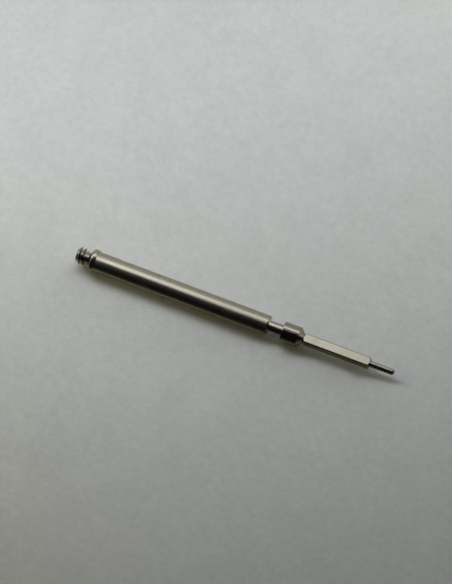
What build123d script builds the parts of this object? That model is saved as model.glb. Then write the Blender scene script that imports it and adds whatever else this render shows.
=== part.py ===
from build123d import *
import os

# A watch's winding stem, lying along X: the crown's thread at the low end, the pilot at the high end.
# The origin is on the turning axis, at the shoulder of the pinion seat that faces the lever groove.
# All lengths are in millimetres.

# Crown thread and the relief behind it
thread_diameter = 0.90
thread_pitch = 0.225
thread_turns = 2.6
thread_depth_share = 0.613
relief_diameter = 0.56
relief_width = 0.06

# Collar that the crown is screwed against: a cone, a narrow land and a back that slopes towards the shank
collar_diameter = 1.21
collar_cone_length = 0.215
collar_land_width = 0.04
collar_back_length = 0.19
collar_back_diameter = 1.16

# Shank
shank_diameter = 1.05
shank_length = 9.55

# Groove that the setting lever reaches into
groove_diameter = 0.64
groove_width = 0.82

# Seat that the winding pinion turns on
seat_diameter = 1.05
seat_length = 0.88

# Square that the clutch wheel slides on
square_flats = 0.50
square_corner_diameter = 0.64
square_length = 3.72
square_neck_diameter = 0.49
square_rise_length = 0.075
square_end_chamfer = 0.09

# Pilot that turns in the plate
pilot_diameter = 0.32
pilot_length = 1.34
pilot_tip_share = 0.3

# Edges broken after turning, and how far a cut runs past what it cuts
edge_break = 0.015
overrun = 0.1

# Sizes that follow from those above
thread_length = thread_pitch * thread_turns
thread_depth = thread_pitch * thread_depth_share
seat_chamfer = (seat_diameter - square_corner_diameter) / 2
neck_cone_length = (square_corner_diameter - square_neck_diameter) / 2

# Places of the shoulders along the axis
seat_start = 0
square_start = seat_start + seat_length + seat_chamfer
pilot_start = square_start + square_length
groove_start = seat_start - groove_width
shank_start = groove_start - shank_length
collar_start = shank_start - collar_back_length - collar_land_width - collar_cone_length
relief_start = collar_start - relief_width
thread_start = relief_start - thread_length


def turned_bar(start, length, diameter):
    """A plain length of the bar, turned about the X axis."""
    with BuildPart() as bar:
        with BuildSketch(Plane.YZ.offset(start)):
            Circle(diameter / 2)
        extrude(amount=length)
    return bar.part


def rim(piece, end):
    """The round edge at one end of a turned piece: end is 0 for the low end and -1 for the high one."""
    return piece.edges().filter_by(GeomType.CIRCLE).sort_by(Axis.X)[end]


def crown_thread():
    """The thread's body at its full diameter, with its point chamfered down to the thread's root."""
    body = turned_bar(thread_start, thread_length, thread_diameter)
    return chamfer(rim(body, 0), thread_depth)


def thread_relief():
    """The narrow neck where the thread runs out."""
    return turned_bar(relief_start, relief_width, relief_diameter)


def crown_collar():
    """The collar: a cone that centres the crown, a narrow land and a sloping back with a step to the shank."""
    land_start = collar_start + collar_cone_length
    back_start = land_start + collar_land_width
    with BuildPart() as collar:
        with BuildSketch(Plane.XZ):
            with BuildLine():
                Polyline(
                    (collar_start, 0),
                    (collar_start, relief_diameter / 2),
                    (land_start, collar_diameter / 2),
                    (back_start, collar_diameter / 2),
                    (shank_start, collar_back_diameter / 2),
                    (shank_start, 0),
                    close=True,
                )
            make_face()
        revolve(axis=Axis.X)
    return chamfer(rim(collar.part, -1), edge_break)


def shank():
    """The long plain shank, with a broken edge at the groove's shoulder."""
    body = turned_bar(shank_start, shank_length, shank_diameter)
    return chamfer(rim(body, -1), edge_break)


def lever_groove():
    """The neck between the two square shoulders that drive the setting lever."""
    return turned_bar(groove_start, groove_width, groove_diameter)


def pinion_seat():
    """The short journal of the winding pinion, chamfered down to the square's corners."""
    body = turned_bar(seat_start, seat_length + seat_chamfer, seat_diameter)
    body = chamfer(rim(body, -1), seat_chamfer)
    return chamfer(rim(body, 0), edge_break)


def turned_square_blank():
    """The bar that the square is milled from: the seat's chamfer runs on to a neck, then the bar rises again."""
    corner = square_corner_diameter / 2
    neck = square_neck_diameter / 2
    neck_place = square_start + neck_cone_length
    with BuildPart() as blank:
        with BuildSketch(Plane.XZ):
            with BuildLine():
                Polyline(
                    (square_start, 0),
                    (square_start, corner),
                    (neck_place, neck),
                    (neck_place + square_rise_length, corner),
                    (pilot_start, corner),
                    (pilot_start, 0),
                    close=True,
                )
            make_face()
        revolve(axis=Axis.X)
    return chamfer(rim(blank.part, -1), square_end_chamfer)


def flat_cut():
    """What the mill takes off for one flat, from the neck to the square's end."""
    bed = square_flats / 2
    top = square_corner_diameter / 2 + overrun
    neck_place = square_start + neck_cone_length
    with BuildPart() as cut:
        with BuildSketch(Plane.XZ):
            with BuildLine():
                Polyline(
                    (neck_place, bed),
                    (pilot_start + overrun, bed),
                    (pilot_start + overrun, top),
                    (neck_place, top),
                    close=True,
                )
            make_face()
        extrude(amount=top, both=True)
    return cut.part


def clutch_square():
    """The square: a turned bar with four milled flats, whose corners keep the bar's round surface."""
    square = turned_square_blank()
    for quarter in range(4):
        square -= Rotation(X=90 * quarter) * flat_cut()
    return square


def pilot():
    """The thin pilot with its rounded tip."""
    body = turned_bar(pilot_start, pilot_length, pilot_diameter)
    return fillet(rim(body, -1), pilot_diameter * pilot_tip_share)


nodes = {
    "crown_thread": crown_thread(),
    "thread_relief": thread_relief(),
    "crown_collar": crown_collar(),
    "shank": shank(),
    "lever_groove": lever_groove(),
    "pinion_seat": pinion_seat(),
    "clutch_square": clutch_square(),
    "pilot": pilot(),
}

os.makedirs("parts", exist_ok=True)
for name, solid in nodes.items():
    export_step(solid, f"parts/{name}.step")
print("overall length", round(pilot_start + pilot_length - thread_start, 3))
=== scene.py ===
from collections import namedtuple
from math import atan2, cos, degrees, hypot, pi, radians, sin, tan

import bpy
from mathutils import Matrix, Vector


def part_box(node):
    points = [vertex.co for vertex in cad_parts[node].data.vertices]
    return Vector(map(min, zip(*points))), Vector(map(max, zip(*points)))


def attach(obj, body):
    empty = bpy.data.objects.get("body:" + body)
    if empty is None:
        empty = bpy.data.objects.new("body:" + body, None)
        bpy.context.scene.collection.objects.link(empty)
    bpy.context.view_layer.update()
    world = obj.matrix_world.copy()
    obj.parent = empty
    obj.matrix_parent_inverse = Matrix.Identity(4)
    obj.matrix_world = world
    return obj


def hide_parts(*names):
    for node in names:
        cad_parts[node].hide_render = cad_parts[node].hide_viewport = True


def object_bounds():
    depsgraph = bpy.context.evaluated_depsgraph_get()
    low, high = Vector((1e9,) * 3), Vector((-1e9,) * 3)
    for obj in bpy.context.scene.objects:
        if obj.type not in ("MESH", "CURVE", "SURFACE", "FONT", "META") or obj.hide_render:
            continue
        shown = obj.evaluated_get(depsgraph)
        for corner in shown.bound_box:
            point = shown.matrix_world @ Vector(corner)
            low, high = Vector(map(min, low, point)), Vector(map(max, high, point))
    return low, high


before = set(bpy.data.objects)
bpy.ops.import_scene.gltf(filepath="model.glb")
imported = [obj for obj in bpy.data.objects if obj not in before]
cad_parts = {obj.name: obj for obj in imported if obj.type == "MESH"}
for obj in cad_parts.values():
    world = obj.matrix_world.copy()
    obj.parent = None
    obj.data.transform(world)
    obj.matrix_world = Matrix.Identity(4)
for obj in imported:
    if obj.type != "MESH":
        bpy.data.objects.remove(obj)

cad_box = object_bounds()

# The stem lies along X, with its crown thread at the low end and its pilot at the high end.
# Lengths are in metres. A size with no name here is read from the frame.
MM = 0.001
MICRON = 0.001 * MM

# Turned surfaces: sides of the round bar, steps of a rounded edge, angle past which an edge stays crisp,
# how far in from the ends of a long run an extra ring of edges keeps its shading straight, and how many
# times that distance a run has to be to count as long
BAR_SIDES = 160
ROUND_STEPS = 5
CRISP_ANGLE = radians(32)
CRISP_FLAT_ANGLE = radians(8)
RING_INSET = 0.004 * MM
LONG_RUN_INSETS = 4

# Cuts: how far a cutter runs past what it cuts, and how close two corners lie that are merged as one
CUT_OVERRUN = 0.1 * MM
THREAD_OVERRUN = CUT_OVERRUN / 10
SLIVER = 0.0002 * MM

# Crown thread, right-handed: where its first crest lies from the stem's end and how far round the axis,
# how many turns are swept beyond its length, and the chamfer at its run-out
THREAD_PITCH = 0.225 * MM
THREAD_DEPTH_SHARE = 0.613
THREAD_ANGLE = radians(60)
THREAD_SIDES = 120
FIRST_CREST = 0.124 * MM
FIRST_CREST_ANGLE = radians(22)
SPARE_TURNS = 4
RUN_OUT_CHAMFER = 0.135 * MM

# The thread's tooth: the crest's flat as a share of the pitch, and then a place and a height for each bend,
# as shares: in the rounded root, at the foot and at the top of the flank, and on the rounded crest
CREST_FLAT_SHARE = 0.11
ROOT_BEND_SHARES = (0.6, 0.06)
FLANK_FOOT_SHARES = (0.93, 0.08)
FLANK_TOP_SHARES = (0.10, 0.08)
CREST_BEND_SHARES = (0.6, 0.1)

# Thread relief: the radius of the tool's nose as a share of the relief's width
RELIEF_NOSE_SHARE = 0.1

# Collar: its cone, its land, the diameter where its sloping back ends, and the roundings at its two bends
COLLAR_CONE = 0.215 * MM
COLLAR_LAND = 0.04 * MM
COLLAR_BACK_DIAMETER = 1.16 * MM
COLLAR_BROW = 0.09 * MM
COLLAR_HEEL = 0.035 * MM
BROW_STEPS = 10
HEEL_STEPS = 8

# Shank, groove and pinion seat: their broken edges, the fillets in the groove and how much it is waisted,
# and the slope of the seat's chamfer in degrees
BROKEN_EDGE = 0.015 * MM
ROOT_ROUNDING = 0.035 * MM
GROOVE_WAIST = 0.014 * MM
SEAT_CHAMFER_DEGREES = 45

# Square: width across its flats, neck at its start and the length over which its corners rise from there,
# turned chamfer at its end, rounding along the edges of its flats and angle past which an edge is rounded
SQUARE_FLATS = 0.50 * MM
SQUARE_NECK_DIAMETER = 0.49 * MM
SQUARE_RISE = 0.075 * MM
SQUARE_END_CHAMFER = 0.09 * MM
SQUARE_EDGE = 0.007 * MM
SQUARE_EDGE_STEPS = 2
SQUARE_EDGE_ANGLE = radians(25)

# Pilot: the rounding of its tip as a share of its radius
PILOT_TIP_SHARE = 0.92
PILOT_TIP_STEPS = 8

# Marks on the steel: how many there are per metre where they are closest, how high they stand, and their
# share in the steel's tone. The other way there are fewer of them, by the length share. Rings also vary the
# roughness, by the mark roughness in all.
Marks = namedtuple("Marks", "per_metre height tone")
MARK_LENGTH_SHARE = 0.03
MARK_DETAIL = 3
MARK_ROUGHNESS = 0.08
NOISE_ROUGHNESS = 0.6

# Film of handling: patches per metre, the noise where it starts and where it is full, and how many times
# what it adds to the roughness it takes from the tone
FILM_PATCHES = 900
FILM_DETAIL = 4
FILM_START = 0.5
FILM_FULL = 0.75
FILM_DARKENING = 2

# Rubbed edges: how sharp an edge has to be, how fast the wear grows past that, and what it adds to the tone
WEAR_START = 0.52
WEAR_SHARPNESS = 12
WEAR_BRIGHTENING = 0.3

# Bare steel's colour at the bottom of its marks and at their top, and the tone half-way between two colours
BARE_DARK = (0.37, 0.35, 0.285)
BARE_LIGHT = (0.50, 0.475, 0.395)
MIDDLE_TONE = 0.5

# The paper: its size, its two tones, its sheen, its grain as (count per metre, detail, share of the tone),
# and how high the middle one of the three grains stands
FLOOR_SIZE = 0.6
PAPER_LOW = (0.658, 0.658, 0.653)
PAPER_HIGH = (0.922, 0.927, 0.922)
PAPER_ROUGHNESS = 0.95
PAPER_SPECULAR = 0.1
PAPER_GRAIN = ((11000, 2, 0.5), (2600, 4, 0.5), (500, 2, 0.3))
PAPER_RELIEF = 0.012 * MM

# The paper as the steel shows it, in a painted colour of its own. In front of the stem this has painted
# shade, which starts this far from the stem's axis and is full this far from it.
PAPER_IN_STEEL = (0.74, 0.72, 0.60)
SHADED_PAPER = (0.03, 0.03, 0.02)
SHADE_START = 0.3 * MM
SHADE_FULL = 2.2 * MM

# How pale the sheet goes on beyond the lamps' reach, for the views from low down
NO_LIGHT = (0, 0, 0)
FAR_PAPER = (0.36, 0.37, 0.36)
FAR_START = 20 * MM
FAR_FULL = 50 * MM

# Soft lights: (name, round, left, roll, distance, width, height, brightness, colour, what it lights).
# Round, left and roll are in degrees. Round is how far about the stem's axis the light stands, from the front
# of the table through straight above to its back, and left is how far it leans left of there. A roll swings
# its right end towards the back. One light is oval, the others are rectangles.
DAYLIGHT = (1.0, 1.0, 0.985)
LIGHTS = (
    ("window", 116, 15, 22, 0.060, 0.066, 0.024, 1.57, DAYLIGHT, "steel"),
    ("window_left", 95, 30, 0, 0.060, 0.048, 0.024, 1.10, DAYLIGHT, "steel"),
    ("window_far_left", 108, 62, 0, 0.060, 0.040, 0.036, 1.30, DAYLIGHT, "steel"),
    ("window_glow", 134, 20, 0, 0.070, 0.080, 0.024, 0.22, DAYLIGHT, "steel"),
    ("low_back_card", 157, 0, 0, 0.150, 0.300, 0.130, 0.48, (1.0, 0.995, 0.96), "steel"),
    ("low_right_card", 165, -54, 0, 0.150, 0.160, 0.050, 0.60, (1.0, 0.99, 0.95), "steel"),
    ("front_left_glow", 62, 40, 0, 0.060, 0.050, 0.050, 0.035, DAYLIGHT, "steel"),
    ("paper_key", 122, 24, 0, 0.040, 0.022, 0.010, 3.95, (0.872, 0.91, 1.0), "paper"),
    ("paper_left", 109, 52, 0, 0.040, 0.022, 0.010, 4.85, (0.78, 0.82, 1.0), "paper"),
    ("paper_left_high", 109, 38, 0, 0.040, 0.022, 0.010, 1.30, (0.98, 1.0, 0.38), "paper"),
    ("paper_back", 130, -4, 0, 0.040, 0.022, 0.0195, 1.62, (0.89, 0.946, 1.0), "paper"),
    ("paper_right", 148, -50, 0, 0.040, 0.022, 0.010, 2.40, (0.96, 1.0, 0.83), "paper"),
    ("paper_low_back", 161, -4, 0, 0.040, 0.022, 0.0124, 2.38, (0.975, 1.0, 0.92), "paper"),
    ("warm_left", 83, 60, 0, 0.040, 0.022, 0.010, 0.54, (1.0, 0.942, 0.66), "paper"),
    ("warm_room", 63, 48, 0, 0.040, 0.026, 0.013, 0.95, (1.0, 0.94, 0.47), "paper"),
)
OVAL_LIGHT = "window_left"
ROOM_GREY = (0.006, 0.006, 0.006)

# The photograph's view: the picture's size, where the stem's middle lies in it and how long the stem looks,
# how far the camera stands to the stem's right and above it, the lens, and how many times nearer or farther
# than the stem a thing is still seen
IMAGE_PX = (452, 584)
STEM_MIDDLE_PX = (235.1, 313.23)
STEM_LENGTH_PX = 338.4
CAMERA_AZIMUTH = radians(22.28)
CAMERA_ELEVATION = radians(66)
LENS_MM = 300
SENSOR_MM = 36
CLIP_RATIO = 100


def edges_of(node):
    """Where a node starts and ends along the stem, and its radius."""
    low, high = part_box(node)
    return low.x, high.x, high.z


def select_none():
    """Deselects everything."""
    bpy.ops.object.select_all(action="DESELECT")


def only(piece):
    """Makes a piece the one that is selected and active."""
    select_none()
    piece.select_set(True)
    bpy.context.view_layer.objects.active = piece


def arc(middle_x, middle_r, radius, start, end, steps=ROUND_STEPS):
    """Stations (x, radius) along an arc of a turned outline, between two angles in degrees."""
    angles = [radians(start + (end - start) * i / steps) for i in range(steps + 1)]
    return [(middle_x + radius * cos(a), middle_r + radius * sin(a)) for a in angles]


def ringed(outline, inset):
    """An outline with a station added near both ends of each long run."""
    stations = [outline[0]]
    for (x, r), (next_x, next_r) in zip(outline, outline[1:]):
        run = hypot(next_x - x, next_r - r)
        if run > LONG_RUN_INSETS * inset:
            for share in (inset / run, 1 - inset / run):
                stations.append((x + (next_x - x) * share, r + (next_r - r) * share))
        stations.append((next_x, next_r))
    return stations


def turned(name, outline, inset=RING_INSET):
    """A bar turned about X: a disc at the first station, extruded and resized to each next (x, radius)."""
    select_none()
    outline = ringed(outline, inset)
    x, r = outline[0]
    bpy.ops.mesh.primitive_circle_add(
        vertices=BAR_SIDES, radius=r, fill_type="NGON", location=(x, 0, 0), rotation=(0, pi / 2, 0)
    )
    piece = bpy.context.object
    piece.name = piece.data.name = name
    bpy.ops.object.transform_apply(location=True, rotation=True, scale=True)
    bpy.ops.object.mode_set(mode="EDIT")
    bpy.ops.mesh.select_all(action="SELECT")
    for next_x, next_r in outline[1:]:
        bpy.ops.mesh.extrude_region_move(TRANSFORM_OT_translate={"value": (next_x - x, 0, 0)})
        share = next_r / r
        bpy.ops.transform.resize(value=(1, share, share), center_override=(next_x, 0, 0))
        x, r = next_x, next_r
    bpy.ops.mesh.select_all(action="SELECT")
    bpy.ops.mesh.normals_make_consistent(inside=False)
    bpy.ops.object.mode_set(mode="OBJECT")
    return piece


def turned_in_millimetres(name, outline):
    """A turned bar at a thousand times its size, large enough for clean Boolean cuts."""
    return turned(name, [(x / MM, r / MM) for x, r in outline], inset=RING_INSET / MM)


def resize_to_metres(piece):
    """Brings a piece that was modelled in millimetres to its real size."""
    only(piece)
    piece.scale = (MM, MM, MM)
    bpy.ops.object.transform_apply(location=True, rotation=True, scale=True)


def apply_boolean(piece, cutter, operation):
    """Cuts a piece with another, or keeps what the two share, and removes the cutter."""
    only(piece)
    cut = piece.modifiers.new("cut", "BOOLEAN")
    cut.operation, cut.solver, cut.object = operation, "EXACT", cutter
    bpy.ops.object.modifier_apply(modifier=cut.name)
    bpy.data.objects.remove(cutter)


def merge_slivers(piece):
    """Merges the corners that a cut leaves within a hair of each other, with the slivers between them."""
    only(piece)
    bpy.ops.object.mode_set(mode="EDIT")
    bpy.ops.mesh.select_all(action="SELECT")
    bpy.ops.mesh.remove_doubles(threshold=SLIVER / MM)
    bpy.ops.mesh.dissolve_degenerate(threshold=SLIVER / MM)
    bpy.ops.object.mode_set(mode="OBJECT")


def finish_surface(piece, node, material):
    """Smooths a finished piece and puts it in its node's place."""
    only(piece)
    crisp = CRISP_FLAT_ANGLE if node == "clutch_square" else CRISP_ANGLE
    bpy.ops.object.shade_smooth_by_angle(angle=crisp)
    piece.data.materials.clear()
    piece.data.materials.append(material)
    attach(piece, "root")
    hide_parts(node)


def thread_tooth(root, crest):
    """One pitch of the thread's outline in millimetres, from mid root to mid root."""
    pitch = THREAD_PITCH / MM
    depth = crest - root
    half_crest = pitch * CREST_FLAT_SHARE / 2
    flank = depth * tan(THREAD_ANGLE / 2)
    half_root = pitch / 2 - half_crest - flank
    root_run, root_rise = ROOT_BEND_SHARES
    foot_run, foot_rise = FLANK_FOOT_SHARES
    top_run, top_drop = FLANK_TOP_SHARES
    crest_run, crest_drop = CREST_BEND_SHARES
    rise = [
        (-pitch / 2, root),
        (-pitch / 2 + half_root * root_run, root + half_root * root_rise),
        (-half_crest - flank * foot_run, root + depth * foot_rise),
        (-half_crest - flank * top_run, crest - depth * top_drop),
        (-half_crest * crest_run, crest - half_crest * crest_drop),
        (0, crest),
    ]
    return rise + [(-x, r) for x, r in reversed(rise[:-1])]


def swept_thread(tooth, first_x, turns):
    """A tooth's outline, in millimetres, swept along the thread's helix."""
    points = [(first_x + x, r, 0) for x, r in tooth]
    mesh = bpy.data.meshes.new("crown_thread")
    mesh.from_pydata(points, [(i, i + 1) for i in range(len(points) - 1)], [])
    thread = bpy.data.objects.new("crown_thread", mesh)
    bpy.context.collection.objects.link(thread)
    only(thread)
    sweep = thread.modifiers.new("helix", "SCREW")
    sweep.axis, sweep.angle, sweep.screw_offset = "X", 2 * pi, THREAD_PITCH / MM
    sweep.iterations, sweep.steps, sweep.render_steps = turns, THREAD_SIDES, THREAD_SIDES
    bpy.ops.object.modifier_apply(modifier=sweep.name)
    return thread


def close_thread(thread, first_x, last_x):
    """Joins a swept thread's turns, cuts it off square at both ends and fills the cuts."""
    only(thread)
    bpy.ops.object.mode_set(mode="EDIT")
    bpy.ops.mesh.select_all(action="SELECT")
    bpy.ops.mesh.remove_doubles(threshold=SLIVER / MM)
    for place, side in ((first_x, -1), (last_x, 1)):
        bpy.ops.mesh.select_all(action="SELECT")
        bpy.ops.mesh.bisect(
            plane_co=(place, 0, 0), plane_no=(side, 0, 0), use_fill=True, clear_outer=True
        )
    bpy.ops.mesh.select_all(action="SELECT")
    bpy.ops.mesh.normals_make_consistent(inside=False)
    bpy.ops.object.mode_set(mode="OBJECT")


def make_crown_thread():
    """The thread: one tooth swept along a helix, then cut to length by a blank with chamfered ends."""
    start, end, radius = edges_of("crown_thread")
    pitch = THREAD_PITCH / MM
    crest = radius / MM
    depth = pitch * THREAD_DEPTH_SHARE
    turns = int((end - start) / THREAD_PITCH) + SPARE_TURNS
    turns_before = SPARE_TURNS / 2 + FIRST_CREST_ANGLE / (2 * pi)
    first_x = (start + FIRST_CREST) / MM - pitch * turns_before
    thread = swept_thread(thread_tooth(crest - depth, crest), first_x, turns)
    close_thread(thread, start / MM - pitch / 2, end / MM + pitch / 2)
    point = depth * MM
    blank = turned_in_millimetres("thread_blank", [
        (start, radius - point),
        (start + point + THREAD_OVERRUN, radius + THREAD_OVERRUN),
        (end - RUN_OUT_CHAMFER - THREAD_OVERRUN, radius + THREAD_OVERRUN),
        (end, radius - RUN_OUT_CHAMFER),
    ])
    apply_boolean(thread, blank, "INTERSECT")
    merge_slivers(thread)
    resize_to_metres(thread)
    return thread


def make_thread_relief():
    """The narrow neck behind the thread, with the round corners that the tool's nose leaves."""
    start, end, radius = edges_of("thread_relief")
    nose = (end - start) * RELIEF_NOSE_SHARE
    return turned("thread_relief", [
        *arc(start + nose, radius, nose, 180, 270),
        *arc(end - nose, radius, nose, 270, 360),
    ])


def make_crown_collar():
    """The collar: a cone up to a rounded brow, and a sloping back with a rounded step down to the shank."""
    start, end, radius = edges_of("crown_collar")
    neck = edges_of("thread_relief")[2]
    land = start + COLLAR_CONE
    back_radius = COLLAR_BACK_DIAMETER / 2
    steepness = degrees(atan2(radius - neck, COLLAR_CONE))
    slope = degrees(atan2(radius - back_radius, end - land - COLLAR_LAND))
    brow = land + COLLAR_BROW * tan(radians(steepness / 2))
    heel = end - COLLAR_HEEL
    return turned("crown_collar", [
        (start, neck),
        *arc(brow, radius - COLLAR_BROW, COLLAR_BROW, 90 + steepness, 90 - slope, steps=BROW_STEPS),
        *arc(heel, back_radius - COLLAR_HEEL, COLLAR_HEEL, 90 - slope, 0, steps=HEEL_STEPS),
        (end, edges_of("shank")[2] / 2),
    ])


def make_shank():
    """The long plain shank, with a rounded edge at the groove."""
    start, end, radius = edges_of("shank")
    return turned("shank", [
        (start, radius),
        *arc(end - BROKEN_EDGE, radius - BROKEN_EDGE, BROKEN_EDGE, 90, 0),
        (end, edges_of("lever_groove")[2] / 2),
    ])


def make_lever_groove():
    """The neck of the setting lever, a little waisted, with a small fillet at each of its two shoulders."""
    start, end, radius = edges_of("lever_groove")
    waist = radius - GROOVE_WAIST
    return turned("lever_groove", [
        *arc(start + ROOT_ROUNDING, waist + ROOT_ROUNDING, ROOT_ROUNDING, 180, 270),
        *arc(end - ROOT_ROUNDING, waist + ROOT_ROUNDING, ROOT_ROUNDING, 270, 360),
    ])


def make_pinion_seat():
    """The winding pinion's journal, with a long chamfer down to the square's corners."""
    start, end, radius = edges_of("pinion_seat")
    corner = edges_of("clutch_square")[2]
    chamfer_start = end - (radius - corner)
    bend = BROKEN_EDGE * tan(radians(SEAT_CHAMFER_DEGREES / 2))
    bend_radius = radius - BROKEN_EDGE
    return turned("pinion_seat", [
        (start, edges_of("lever_groove")[2] / 2),
        *arc(start + BROKEN_EDGE, bend_radius, BROKEN_EDGE, 180, 90),
        *arc(chamfer_start - bend, bend_radius, BROKEN_EDGE, 90, 90 - SEAT_CHAMFER_DEGREES),
        (end, corner),
    ])


def flat_cutter(start, end, corner):
    """A block over one flat, in millimetres."""
    top = corner + CUT_OVERRUN
    bed = SQUARE_FLATS / 2
    select_none()
    bpy.ops.mesh.primitive_cube_add(
        size=1,
        location=((start + end) / 2 / MM, 0, (bed + top) / 2 / MM),
        scale=((end - start) / MM, 2 * top / MM, (top - bed) / MM),
    )
    cutter = bpy.context.object
    bpy.ops.object.transform_apply(location=True, rotation=True, scale=True)
    return cutter


def make_clutch_square():
    """The square: a turned bar with a neck after the seat's chamfer, and four milled flats."""
    start, end, corner = edges_of("clutch_square")
    neck = SQUARE_NECK_DIAMETER / 2
    neck_place = start + corner - neck
    square = turned_in_millimetres("clutch_square", [
        (start, corner),
        (neck_place, neck),
        (neck_place + SQUARE_RISE, corner),
        (end - SQUARE_END_CHAMFER, corner),
        (end, corner - SQUARE_END_CHAMFER),
    ])
    for quarter in range(4):
        cutter = flat_cutter(neck_place, end + CUT_OVERRUN, corner)
        cutter.rotation_euler.x = quarter * pi / 2
        bpy.ops.object.transform_apply(location=True, rotation=True, scale=True)
        apply_boolean(square, cutter, "DIFFERENCE")
    only(square)
    soften = square.modifiers.new("edges", "BEVEL")
    soften.width, soften.segments = SQUARE_EDGE / MM, SQUARE_EDGE_STEPS
    soften.limit_method, soften.angle_limit = "ANGLE", SQUARE_EDGE_ANGLE
    bpy.ops.object.modifier_apply(modifier=soften.name)
    resize_to_metres(square)
    return square


def make_pilot():
    """The pilot with its rounded tip."""
    start, end, radius = edges_of("pilot")
    tip = radius * PILOT_TIP_SHARE
    return turned("pilot", [
        (start, radius),
        *arc(end - tip, radius - tip, tip, 90, 0, steps=PILOT_TIP_STEPS),
    ])


def math_node(nodes, links, operation, first, second, clamp=False):
    """A number worked out from two, each a socket or a plain number."""
    step = nodes.new("ShaderNodeMath")
    step.operation = operation
    step.use_clamp = clamp
    for given, taken in zip((first, second), step.inputs):
        if isinstance(given, (int, float)):
            taken.default_value = given
        else:
            links.new(given, taken)
    return step.outputs[0]


def length_of(nodes, links, vector):
    """The length of a vector."""
    length = nodes.new("ShaderNodeVectorMath")
    length.operation = "LENGTH"
    links.new(vector, length.inputs[0])
    return length.outputs["Value"]


def rising_share(nodes, links, value, first, last, kind="LINEAR"):
    """A share that is nought up to one value and rises to one at another."""
    share = nodes.new("ShaderNodeMapRange")
    share.interpolation_type = kind
    share.inputs["From Min"].default_value = first
    share.inputs["From Max"].default_value = last
    links.new(value, share.inputs["Value"])
    return share.outputs["Result"]


def mixed_colour(nodes, links, share, low, high):
    """A colour between two, by a share that is a socket."""
    mix = nodes.new("ShaderNodeMix")
    mix.data_type = "RGBA"
    links.new(share, mix.inputs["Factor"])
    for socket, colour in (("A", low), ("B", high)):
        target = next(i for i in mix.inputs if i.name == socket and i.type == "RGBA")
        if isinstance(colour, tuple):
            target.default_value = (*colour, 1)
        else:
            links.new(colour, target)
    return next(o for o in mix.outputs if o.type == "RGBA")


def weighted_sum(nodes, links, terms, start):
    """A start value plus each socket times its weight."""
    total = None
    for socket, weight in terms:
        step = nodes.new("ShaderNodeMath")
        step.operation = "MULTIPLY_ADD"
        links.new(socket, step.inputs[0])
        step.inputs[1].default_value = weight
        if total is None:
            step.inputs[2].default_value = start
        else:
            links.new(total, step.inputs[2])
        total = step.outputs[0]
    return total


def new_group(name, inputs, output):
    """A shader node group with named number or vector inputs and one number output."""
    group = bpy.data.node_groups.new(name, "ShaderNodeTree")
    for label, kind, value in inputs:
        socket = group.interface.new_socket(label, in_out="INPUT", socket_type=kind)
        if value is not None:
            socket.default_value = value
    group.interface.new_socket(output, in_out="OUTPUT", socket_type="NodeSocketFloat")
    given = group.nodes.new("NodeGroupInput").outputs
    result = group.nodes.new("NodeGroupOutput").inputs
    return group, given, result[output]


def stretched_noise(group, place, along, across, detail):
    """Noise whose cells have their own count per metre along the stem and across it."""
    nodes, links = group.nodes, group.links
    stretch = nodes.new("ShaderNodeCombineXYZ")
    links.new(along, stretch.inputs["X"])
    links.new(across, stretch.inputs["Y"])
    links.new(across, stretch.inputs["Z"])
    scaled = nodes.new("ShaderNodeVectorMath")
    scaled.operation = "MULTIPLY"
    links.new(place, scaled.inputs[0])
    links.new(stretch.outputs[0], scaled.inputs[1])
    noise = nodes.new("ShaderNodeTexNoise")
    noise.inputs["Scale"].default_value = 1
    noise.inputs["Detail"].default_value = detail
    noise.inputs["Roughness"].default_value = NOISE_ROUGHNESS
    links.new(scaled.outputs[0], noise.inputs["Vector"])
    return noise.outputs["Fac"]


def make_marks_group():
    """Fine marks of a tool: rings if they are closest along the stem, streaks if closest across it."""
    inputs = [
        ("Place", "NodeSocketVector", None),
        ("Along per metre", "NodeSocketFloat", None),
        ("Across per metre", "NodeSocketFloat", None),
    ]
    group, given, height = new_group("tool_marks", inputs, "Height")
    along, across = given["Along per metre"], given["Across per metre"]
    group.links.new(stretched_noise(group, given["Place"], along, across, MARK_DETAIL), height)
    return group


def make_film_group():
    """The uneven film of oil and handling on bare steel."""
    inputs = [
        ("Place", "NodeSocketVector", None),
        ("Patches per metre", "NodeSocketFloat", FILM_PATCHES),
    ]
    group, given, film = new_group("handling_film", inputs, "Film")
    count = given["Patches per metre"]
    noise = stretched_noise(group, given["Place"], count, count, FILM_DETAIL)
    cover = rising_share(group.nodes, group.links, noise, FILM_START, FILM_FULL, "SMOOTHSTEP")
    group.links.new(cover, film)
    return group


def make_wear_group():
    """Where an outer edge is rubbed bright."""
    group, given, wear = new_group("edge_wear", [("Sharpness", "NodeSocketFloat", WEAR_SHARPNESS)], "Wear")
    nodes, links = group.nodes, group.links
    shape = nodes.new("ShaderNodeNewGeometry")
    lifted = math_node(nodes, links, "SUBTRACT", shape.outputs["Pointiness"], WEAR_START)
    links.new(math_node(nodes, links, "MULTIPLY", lifted, given["Sharpness"], clamp=True), wear)
    return group


def share_along(first, last):
    """A share that rises evenly from nought at one node's low end to one at another's high end."""
    def share_at(nodes, links, place):
        parts = nodes.new("ShaderNodeSeparateXYZ")
        links.new(place, parts.inputs[0])
        return rising_share(nodes, links, parts.outputs["X"], edges_of(first)[0], edges_of(last)[1])

    return share_at


def share_outward(nodes, links, place):
    """A share that rises evenly from nought at the bottom of the thread's roots to one at its crests."""
    crest = edges_of("crown_thread")[2]
    across = nodes.new("ShaderNodeVectorMath")
    across.operation = "MULTIPLY"
    across.inputs[1].default_value = (0, 1, 1)
    links.new(place, across.inputs[0])
    radius = length_of(nodes, links, across.outputs["Vector"])
    return rising_share(nodes, links, radius, crest - THREAD_PITCH * THREAD_DEPTH_SHARE, crest)


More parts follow.
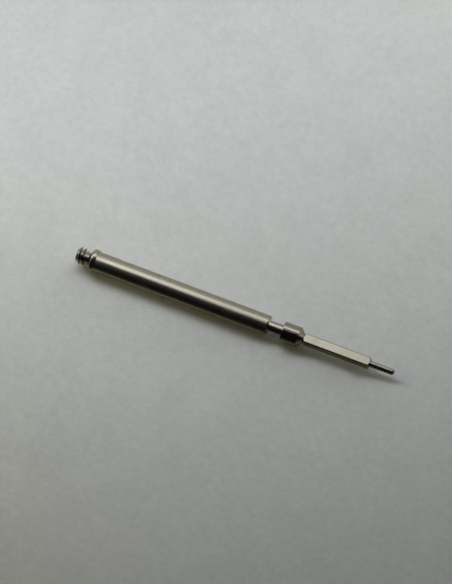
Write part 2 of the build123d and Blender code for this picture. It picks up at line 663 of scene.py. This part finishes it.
def mark_height(nodes, links, group, place, count, close, far):
    """One set of marks on a surface, that many per metre in the close direction and few in the far one."""
    mark = nodes.new("ShaderNodeGroup")
    mark.node_tree = group
    mark.inputs[close].default_value = count
    mark.inputs[far].default_value = count * MARK_LENGTH_SHARE
    links.new(place, mark.inputs["Place"])
    return mark.outputs["Height"]


def mark_relief(nodes, links, marked):
    """The surface's normal over all its marks, given as (height socket, marks)."""
    normal = None
    for height, marks in marked:
        bump = nodes.new("ShaderNodeBump")
        bump.inputs["Strength"].default_value = 1
        bump.inputs["Distance"].default_value = marks.height
        links.new(height, bump.inputs["Height"])
        if normal is not None:
            links.new(normal, bump.inputs["Normal"])
        normal = bump.outputs["Normal"]
    return normal


def steel(name, groups, dark, light, roughness, rings, streaks, film=0.06, darkening_factor=1, darkened_share=None):
    """Bare steel between two colours, with rings, streaks, a film of handling and rubbed edges.
    The last two arguments give a share over the surface, and what is left of both colours where that share is
    one; on the shank and the square this darkening is painted shade."""
    material = bpy.data.materials.new(name)
    material.use_nodes = True
    nodes, links = material.node_tree.nodes, material.node_tree.links
    shader = nodes["Principled BSDF"]
    shader.inputs["Metallic"].default_value = 1
    place = nodes.new("ShaderNodeTexCoord").outputs["Object"]
    along, across = "Along per metre", "Across per metre"
    ring = mark_height(nodes, links, groups["marks"], place, rings.per_metre, close=along, far=across)
    streak = mark_height(nodes, links, groups["marks"], place, streaks.per_metre, close=across, far=along)
    patches = nodes.new("ShaderNodeGroup")
    patches.node_tree = groups["film"]
    links.new(place, patches.inputs["Place"])
    wear = nodes.new("ShaderNodeGroup")
    wear.node_tree = groups["wear"]
    terms = [
        (ring, rings.tone),
        (streak, streaks.tone),
        (patches.outputs["Film"], -film * FILM_DARKENING),
        (wear.outputs["Wear"], WEAR_BRIGHTENING),
    ]
    tone = weighted_sum(nodes, links, terms, MIDDLE_TONE - (rings.tone + streaks.tone) / 2)
    colour = mixed_colour(nodes, links, tone, dark, light)
    if darkened_share is not None:
        darkened_dark, darkened_light = (tuple(part * darkening_factor for part in end) for end in (dark, light))
        darkened_colour = mixed_colour(nodes, links, tone, darkened_dark, darkened_light)
        colour = mixed_colour(nodes, links, darkened_share(nodes, links, place), colour, darkened_colour)
    links.new(colour, shader.inputs["Base Color"])
    terms = [(ring, MARK_ROUGHNESS), (patches.outputs["Film"], film)]
    rough = weighted_sum(nodes, links, terms, roughness - MARK_ROUGHNESS / 2)
    links.new(rough, shader.inputs["Roughness"])
    links.new(mark_relief(nodes, links, [(ring, rings), (streak, streaks)]), shader.inputs["Normal"])
    return material


def satin_steel(groups):
    """The shank: satin, with fine rings and streaks, and painted shade that makes it a little darker towards
    the groove.
    """
    return steel(
        "satin_steel", groups, BARE_DARK, BARE_LIGHT, roughness=0.285,
        rings=Marks(24000, 0.25 * MICRON, 0.5), streaks=Marks(12000, 0.25 * MICRON, 0.4),
        # Painted shade: the shank darkens along its length towards the groove
        darkening_factor=0.86, darkened_share=share_along("shank", "pinion_seat"),
    )


def turned_steel(groups):
    """The relief, the collar and the groove: smoother than the shank."""
    return steel(
        "turned_steel", groups, BARE_DARK, BARE_LIGHT, roughness=0.21,
        rings=Marks(24000, 0.06 * MICRON, 0.3), streaks=Marks(9000, 0.03 * MICRON, 0.1),
    )


def polished_steel(groups):
    """The square: polished flats with fine streaks along them, and painted shade that makes them a little
    darker towards the pilot.
    """
    return steel(
        "polished_steel", groups, (0.30, 0.286, 0.235), (0.395, 0.375, 0.31), roughness=0.20,
        rings=Marks(5000, 0.05 * MICRON, 0.2), streaks=Marks(14000, 0.10 * MICRON, 0.4),
        # Painted shade: the flats darken along their length towards the pilot
        darkening_factor=0.87, darkened_share=share_along("clutch_square", "clutch_square"),
    )


def burnished_steel(groups):
    """The pilot: smooth and darker."""
    return steel(
        "burnished_steel", groups, (0.24, 0.236, 0.21), (0.35, 0.343, 0.305), roughness=0.27,
        rings=Marks(14000, 0.03 * MICRON, 0.3), streaks=Marks(9000, 0.02 * MICRON, 0.2),
    )


def worn_steel(groups):
    """The pinion seat: darker and smoother than the shank."""
    return steel(
        "worn_steel", groups, (0.255, 0.243, 0.207), (0.35, 0.334, 0.292), roughness=0.17,
        rings=Marks(24000, 0.06 * MICRON, 0.3), streaks=Marks(9000, 0.03 * MICRON, 0.1),
    )


def cut_thread_steel(groups):
    """The thread: bright in its roots, dark on its crests, and under more film than the rest."""
    return steel(
        "cut_thread_steel", groups, (0.40, 0.39, 0.33), (0.60, 0.58, 0.51), roughness=0.20,
        rings=Marks(12000, 0.05 * MICRON, 0.3), streaks=Marks(14000, 0.1 * MICRON, 0.5), film=0.12,
        darkening_factor=0.28, darkened_share=share_outward,
    )


def make_materials():
    """The six finishes, by their names."""
    groups = {"marks": make_marks_group(), "film": make_film_group(), "wear": make_wear_group()}
    makers = (satin_steel, turned_steel, polished_steel, burnished_steel, worn_steel, cut_thread_steel)
    return {make.__name__: make(groups) for make in makers}


def paper_grain(nodes, links, place):
    """The paper's tone from its three grains, and the middle one of them."""
    grains = []
    for count, detail, share in PAPER_GRAIN:
        noise = nodes.new("ShaderNodeTexNoise")
        noise.inputs["Scale"].default_value = count
        noise.inputs["Detail"].default_value = detail
        links.new(place, noise.inputs["Vector"])
        grains.append((noise.outputs["Fac"], share))
    start = MIDDLE_TONE - sum(share for _, share in grains) / 2
    return weighted_sum(nodes, links, grains, start), grains[1][0]


def paper_in_steel(nodes, links, place):
    """The paper's colour as the steel shows it: pale behind the stem, with painted shade in front of it."""
    beside = nodes.new("ShaderNodeSeparateXYZ")
    links.new(place, beside.inputs[0])
    behind = rising_share(nodes, links, beside.outputs["Y"], -SHADE_FULL, -SHADE_START, "SMOOTHSTEP")
    return mixed_colour(nodes, links, behind, SHADED_PAPER, PAPER_IN_STEEL)


def paper():
    """Pale paper with a felt-like grain. Its image in the steel has a painted colour with painted shade in
    front of the stem, and its far reaches have their own tones.
    """
    material = bpy.data.materials.new("pale_paper")
    material.use_nodes = True
    nodes, links = material.node_tree.nodes, material.node_tree.links
    shader = nodes["Principled BSDF"]
    shader.inputs["Roughness"].default_value = PAPER_ROUGHNESS
    shader.inputs["Specular IOR Level"].default_value = PAPER_SPECULAR
    shader.inputs["Emission Strength"].default_value = 1
    place = nodes.new("ShaderNodeTexCoord").outputs["Object"]
    ray = nodes.new("ShaderNodeLightPath").outputs
    tone, lift = paper_grain(nodes, links, place)
    seen = mixed_colour(nodes, links, tone, PAPER_LOW, PAPER_HIGH)
    # Reflections in the steel see the paper in its painted colour, with painted shade in front of the stem
    mirrored = math_node(nodes, links, "SUBTRACT", ray["Is Glossy Ray"], ray["Diffuse Depth"], clamp=True)
    colour = mixed_colour(nodes, links, mirrored, seen, paper_in_steel(nodes, links, place))
    links.new(colour, shader.inputs["Base Color"])
    far = rising_share(nodes, links, length_of(nodes, links, place), FAR_START, FAR_FULL, "SMOOTHSTEP")
    looked_at = math_node(nodes, links, "MULTIPLY", far, ray["Is Camera Ray"])
    links.new(mixed_colour(nodes, links, looked_at, NO_LIGHT, FAR_PAPER), shader.inputs["Emission Color"])
    bump = nodes.new("ShaderNodeBump")
    bump.inputs["Distance"].default_value = PAPER_RELIEF
    links.new(lift, bump.inputs["Height"])
    links.new(bump.outputs["Normal"], shader.inputs["Normal"])
    return material


def make_floor(material):
    """A pale sheet under the stem, which rests on its collar and on the end of its pinion seat."""
    collar_end, collar_radius = edges_of("crown_collar")[1:]
    seat_end, seat_radius = edges_of("pinion_seat")[1:]
    seat_edge = seat_end - (seat_radius - edges_of("clutch_square")[2])
    tilt = atan2(collar_radius - seat_radius, seat_edge - collar_end)
    select_none()
    bpy.ops.mesh.primitive_plane_add(size=FLOOR_SIZE, location=(seat_edge, 0, -seat_radius))
    floor = bpy.context.object
    floor.name = "paper_floor"
    floor.rotation_euler.y = -tilt
    bpy.ops.object.transform_apply(location=True, rotation=True, scale=True)
    floor.data.materials.append(material)


def toward(round_degrees, left_degrees):
    """The direction of a light from the stem."""
    turn, left = radians(round_degrees), radians(left_degrees)
    return Vector((-sin(left), -cos(turn) * cos(left), sin(turn) * cos(left)))


def facing(way, roll_degrees):
    """How a light is turned to look back along its direction, with its width along the stem, and rolled."""
    along = (Vector((1, 0, 0)) - way * way.x).normalized()
    along.rotate(Matrix.Rotation(radians(roll_degrees), 3, way))
    return Matrix((along, way.cross(along), way)).transposed()


def make_lights():
    """The soft lights. Some show in the steel alone, the others light the paper alone."""
    for name, turn, left, roll, distance, width, height, brightness, colour, lit in LIGHTS:
        way = toward(turn, left)
        select_none()
        bpy.ops.object.light_add(type="AREA", location=way * distance)
        light = bpy.context.object
        light.name = name
        light.rotation_euler = facing(way, roll).to_euler()
        light.data.shape = "ELLIPSE" if name == OVAL_LIGHT else "RECTANGLE"
        light.data.size, light.data.size_y = width, height
        light.data.energy = brightness * pi * width * height
        light.data.color = colour
        light.visible_glossy = lit == "steel"
        light.visible_diffuse = lit == "paper"


def make_room():
    """The dark room round the table, which the camera itself sees as pale as the far paper."""
    world = bpy.context.scene.world or bpy.data.worlds.new("studio")
    bpy.context.scene.world = world
    world.use_nodes = True
    nodes, links = world.node_tree.nodes, world.node_tree.links
    ray = nodes.new("ShaderNodeLightPath")
    room = mixed_colour(nodes, links, ray.outputs["Is Camera Ray"], ROOM_GREY, FAR_PAPER)
    links.new(room, nodes["Background"].inputs["Color"])


def make_camera():
    """The camera, placed and aimed so that the stem has its length and its place in the photograph."""
    low, high = cad_box
    middle = (low + high) / 2
    back = Vector((
        sin(CAMERA_AZIMUTH) * cos(CAMERA_ELEVATION),
        -cos(CAMERA_AZIMUTH) * cos(CAMERA_ELEVATION),
        sin(CAMERA_ELEVATION),
    ))
    right = Vector((cos(CAMERA_AZIMUTH), sin(CAMERA_AZIMUTH), 0))
    up = back.cross(right)
    seen_length = (high.x - low.x) * hypot(right.x, up.x)
    pixel = seen_length / STEM_LENGTH_PX
    distance = pixel * IMAGE_PX[1] * LENS_MM / SENSOR_MM
    across = (STEM_MIDDLE_PX[0] - IMAGE_PX[0] / 2) * pixel
    down = (STEM_MIDDLE_PX[1] - IMAGE_PX[1] / 2) * pixel
    aim = Vector((middle.x, 0, 0)) - right * across + up * down
    select_none()
    bpy.ops.object.camera_add(location=aim + back * distance)
    camera = bpy.context.object
    camera.rotation_euler = back.to_track_quat("Z", "Y").to_euler()
    camera.data.lens, camera.data.sensor_width = LENS_MM, SENSOR_MM
    camera.data.clip_start, camera.data.clip_end = distance / CLIP_RATIO, distance * CLIP_RATIO
    bpy.context.scene.camera = camera


def make_stem(materials):
    """All pieces of the stem, each in its node's place and with its finish."""
    made = (
        (make_crown_thread, "crown_thread", "cut_thread_steel"),
        (make_thread_relief, "thread_relief", "turned_steel"),
        (make_crown_collar, "crown_collar", "turned_steel"),
        (make_shank, "shank", "satin_steel"),
        (make_lever_groove, "lever_groove", "turned_steel"),
        (make_pinion_seat, "pinion_seat", "worn_steel"),
        (make_clutch_square, "clutch_square", "polished_steel"),
        (make_pilot, "pilot", "burnished_steel"),
    )
    for make, node, slot in made:
        piece = make()
        piece.name = node + "_finished"
        finish_surface(piece, node, materials[slot])


bpy.context.scene.view_settings.view_transform = "Standard"
make_stem(make_materials())
make_floor(paper())
make_lights()
make_room()
make_camera()
